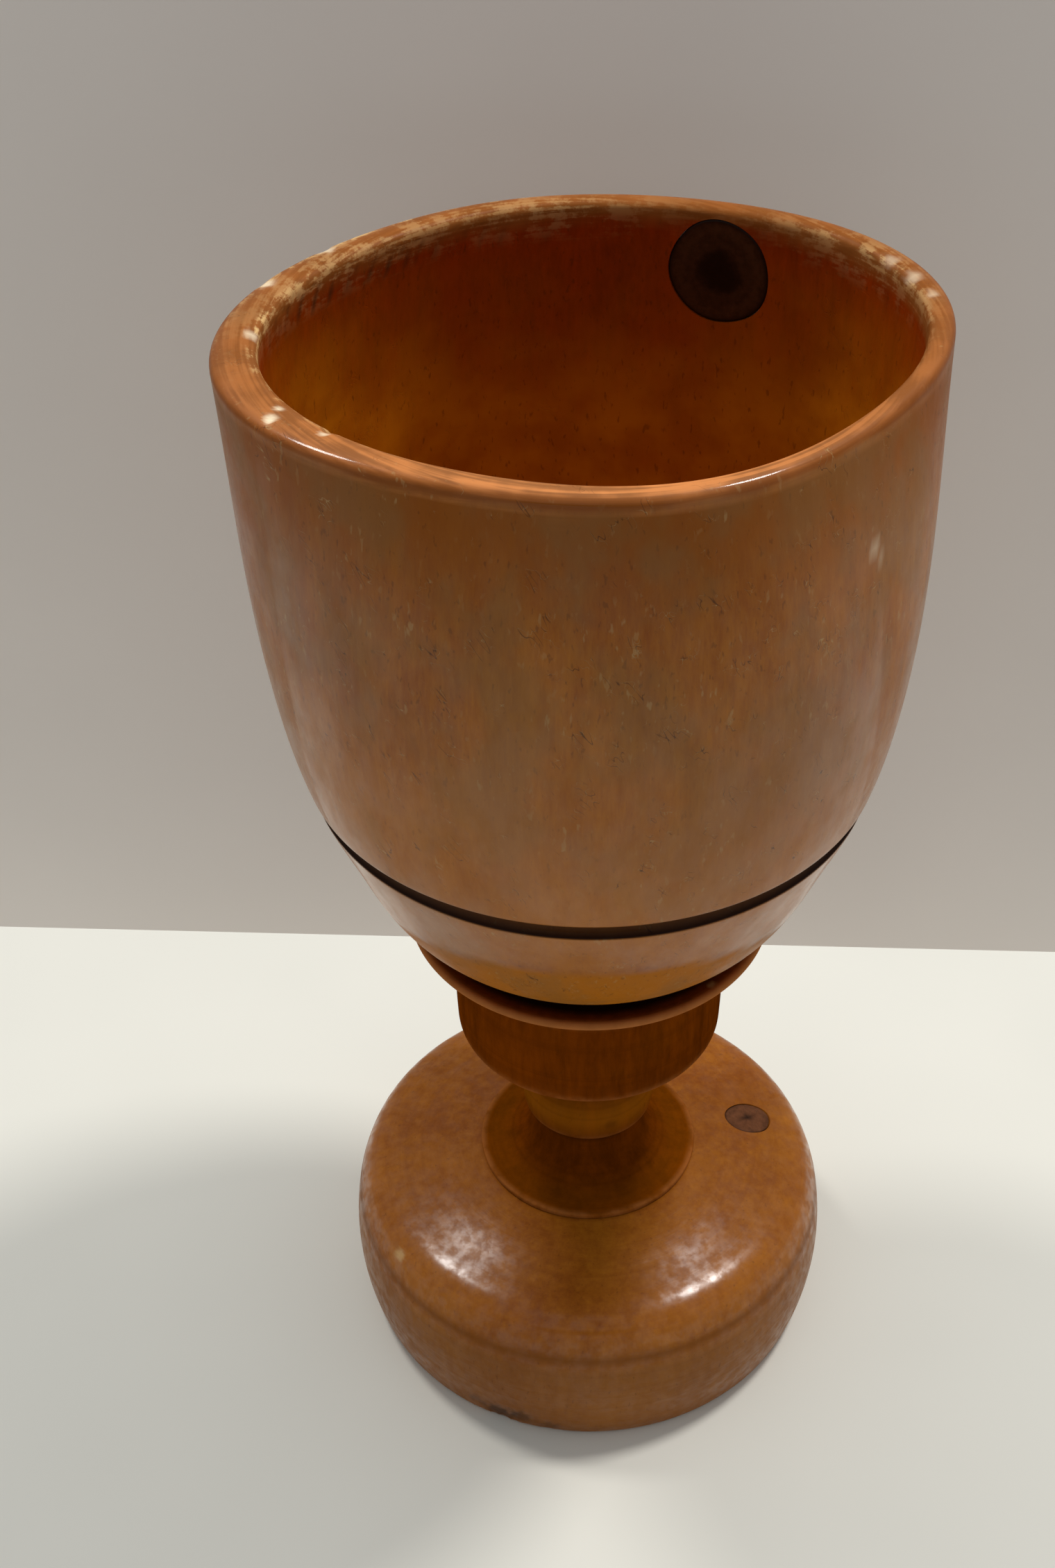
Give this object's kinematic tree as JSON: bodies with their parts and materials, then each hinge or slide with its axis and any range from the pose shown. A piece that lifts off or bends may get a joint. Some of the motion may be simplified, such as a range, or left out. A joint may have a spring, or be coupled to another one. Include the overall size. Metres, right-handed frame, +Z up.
{
  "type": "goblet",
  "caption": "Turned wooden goblet: deep oval-rimmed cup with a cut groove, dished collar, knop and bead stem, and a thick domed foot.",
  "frame": {"origin": "centre of the round face the goblet stands on", "axes": "+Z up along the turning axis; +X to the right and +Y away, seen from the front"},
  "size_m": [0.0628, 0.0602, 0.1235],
  "materials": {
    "bowl_wood": "varnished, worn at the rim",
    "stem_wood": "varnished",
    "foot_wood": "varnished",
    "knot_wood": "varnished"
  },
  "bodies": {
    "root": {"foot": "foot_wood", "foot_knot": "knot_wood", "stem": "stem_wood", "bowl": "bowl_wood", "bowl_knot": "knot_wood"}
  },
  "joints": []
}
